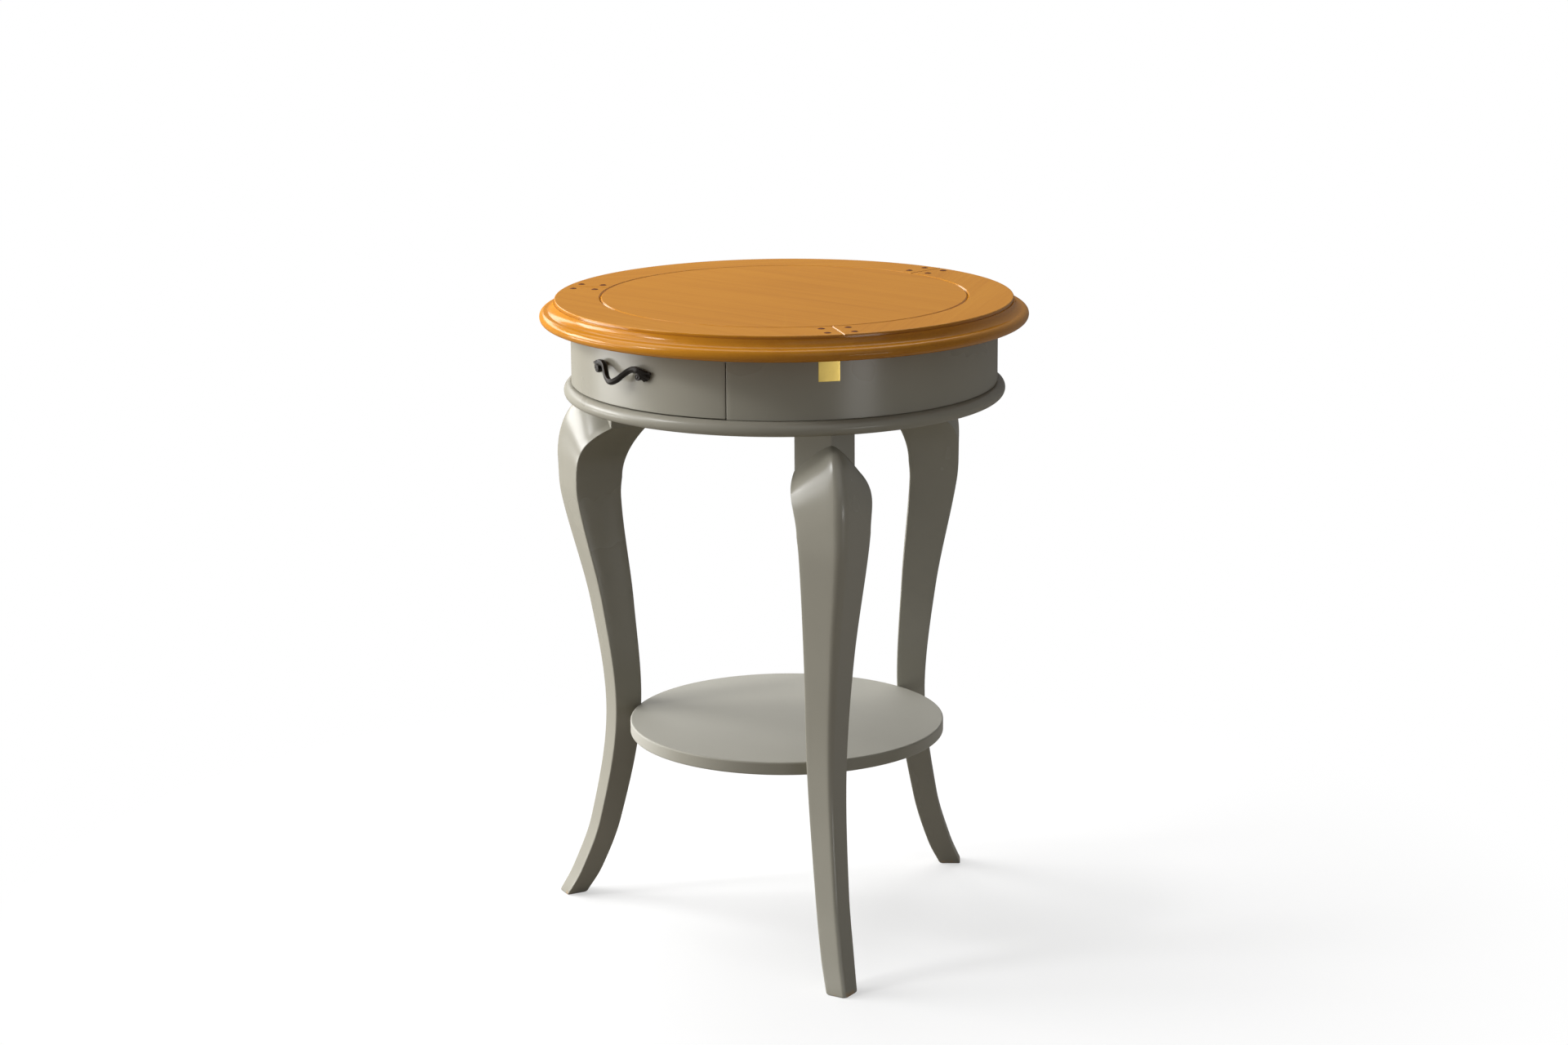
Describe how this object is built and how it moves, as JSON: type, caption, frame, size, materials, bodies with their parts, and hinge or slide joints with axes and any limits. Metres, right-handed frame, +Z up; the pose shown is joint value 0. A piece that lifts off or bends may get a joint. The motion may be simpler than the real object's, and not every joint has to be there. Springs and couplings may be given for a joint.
{
  "type": "round side table",
  "caption": "Round side table with a moulded wooden top, a curved drawer in a lacquered apron, square cabriole legs and a low round shelf.",
  "frame": {"origin": "on the floor, on the vertical axis of the round top", "axes": "+Z up; the drawer opens towards -Y; +X to the right of someone facing the drawer"},
  "size_m": [0.4998, 0.5083, 0.6678],
  "materials": {
    "honey_wood": "honey-stained, satin varnish",
    "rim_wood": "honey-stained, satin varnish, darker in the moulding",
    "peg_wood": "dark brown pegs, varnished",
    "apron_lacquer": "warm grey satin lacquer",
    "base_lacquer": "warm grey satin lacquer",
    "leg_lacquer": "warm grey satin lacquer",
    "shelf_lacquer": "warm grey satin lacquer",
    "front_lacquer": "warm grey satin lacquer",
    "plain_wood": "unfinished pale wood",
    "plywood": "thin plywood",
    "beech_pin": "plain dowel",
    "zinc_steel": "zinc-plated steel",
    "black_iron": "blackened bronze patina"
  },
  "bodies": {
    "carcass": {"top_panel": "honey_wood", "rim_segment_right": "rim_wood", "rim_segment_left": "rim_wood", "rim_segment_back": "rim_wood", "rim_tongue_right": "plain_wood", "rim_tongue_left": "plain_wood", "rim_tongue_back": "plain_wood", "rim_peg_right_1": "peg_wood", "rim_peg_right_2": "peg_wood", "rim_peg_right_3": "peg_wood", "rim_peg_right_4": "peg_wood", "rim_peg_left_1": "peg_wood", "rim_peg_left_2": "peg_wood", "rim_peg_left_3": "peg_wood", "rim_peg_left_4": "peg_wood", "rim_peg_back_1": "peg_wood", "rim_peg_back_2": "peg_wood", "rim_peg_back_3": "peg_wood", "rim_peg_back_4": "peg_wood", "apron": "apron_lacquer", "base_board": "base_lacquer", "top_block_front_right": "plain_wood", "top_block_front_left": "plain_wood", "top_block_back_right": "plain_wood", "top_block_back_left": "plain_wood", "top_screw_front_right": "zinc_steel", "top_screw_front_left": "zinc_steel", "top_screw_back_right": "zinc_steel", "top_screw_back_left": "zinc_steel", "leg_right": "leg_lacquer", "leg_left": "leg_lacquer", "leg_back": "leg_lacquer", "leg_bolt_right": "zinc_steel", "leg_bolt_left": "zinc_steel", "leg_bolt_back": "zinc_steel", "leg_washer_right": "zinc_steel", "leg_washer_left": "zinc_steel", "leg_washer_back": "zinc_steel", "leg_dowel_right": "beech_pin", "leg_dowel_left": "beech_pin", "leg_dowel_back": "beech_pin", "shelf": "shelf_lacquer", "shelf_dowel_right": "beech_pin", "shelf_dowel_left": "beech_pin", "shelf_dowel_back": "beech_pin", "drawer_guide_right": "plain_wood", "drawer_guide_left": "plain_wood", "drawer_kicker_right": "plain_wood", "drawer_kicker_left": "plain_wood", "drawer_stop_right": "plain_wood", "drawer_stop_left": "plain_wood"},
    "drawer": {"drawer_front": "front_lacquer", "drawer_side_right": "plain_wood", "drawer_side_left": "plain_wood", "drawer_back": "plain_wood", "drawer_bottom": "plywood", "drawer_handle": "black_iron", "handle_screw_right": "zinc_steel", "handle_screw_left": "zinc_steel"}
  },
  "joints": [
    {"name": "drawer_slide", "type": "slide", "parent": "carcass", "child": "drawer", "axis": [0, -1, 0], "range_m": [0, 0.2]}
  ]
}
